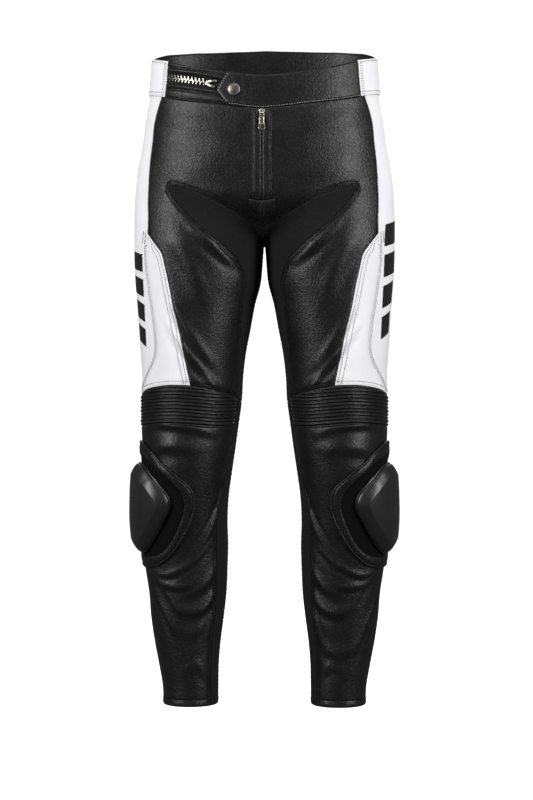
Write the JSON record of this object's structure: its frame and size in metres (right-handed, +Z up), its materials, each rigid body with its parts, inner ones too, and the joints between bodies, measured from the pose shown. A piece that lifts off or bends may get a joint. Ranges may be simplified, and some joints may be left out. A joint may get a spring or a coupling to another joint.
{
  "type": "leather riding pants",
  "caption": "Black leather riding pants with white side panels, stretch inserts, ribbed knees and hard knee sliders, held open as worn.",
  "frame": {"origin": "in the middle of the waist opening, level with the band at the sides, where a wearer holds the pants up", "axes": "+Z up along the legs, the front faces -Y, the wearer's left is +X"},
  "size_m": [0.419, 0.2538, 1.0268],
  "materials": {
    "black_leather": "soft black cowhide, half gloss, fine grain",
    "white_leather": "smooth white coated leather",
    "stretch_textile": "matt black stretch textile",
    "hook_and_loop": "matt black loop pile",
    "hard_plastic": "moulded black plastic, half gloss",
    "zip_tape": "black woven zip tape",
    "silver_metal": "bright zip metal",
    "dark_metal": "dark plated metal"
  },
  "bodies": {
    "garment": {"front_panel_left": "black_leather", "back_panel_left": "black_leather", "knee_expander_left": "black_leather", "shin_panel_left": "black_leather", "calf_panel_left": "black_leather", "knee_frame_left": "black_leather", "fly_facing_left": "black_leather", "fly_end_left": "black_leather", "thigh_wedge_left": "white_leather", "side_stripe_left": "white_leather", "waist_side_left": "white_leather", "crotch_panel_left": "stretch_textile", "inner_calf_panel_left": "stretch_textile", "knee_patch_left": "hook_and_loop", "knee_slider_left": "hard_plastic", "front_panel_right": "black_leather", "back_panel_right": "black_leather", "knee_expander_right": "black_leather", "shin_panel_right": "black_leather", "calf_panel_right": "black_leather", "knee_frame_right": "black_leather", "fly_facing_right": "black_leather", "fly_end_right": "black_leather", "thigh_wedge_right": "white_leather", "side_stripe_right": "white_leather", "waist_side_right": "white_leather", "crotch_panel_right": "stretch_textile", "inner_calf_panel_right": "stretch_textile", "knee_patch_right": "hook_and_loop", "knee_slider_right": "hard_plastic", "waistband_front": "black_leather", "waistband_back": "black_leather", "zip_strip_upper": "black_leather", "zip_strip_lower": "black_leather", "zip_tape": "zip_tape", "zip_teeth": "silver_metal", "zip_slider": "silver_metal", "waist_snap": "dark_metal", "fly_zip_slider": "silver_metal"},
    "zip_pull": {"fly_zip_pull": "silver_metal"}
  },
  "joints": [
    {"name": "fly_zip_pull_hinge", "type": "hinge", "parent": "garment", "child": "zip_pull", "pos_m": [0, -0.11615, -0.07269], "axis": [-1, 0, 0], "range_deg": [0, 135]}
  ]
}
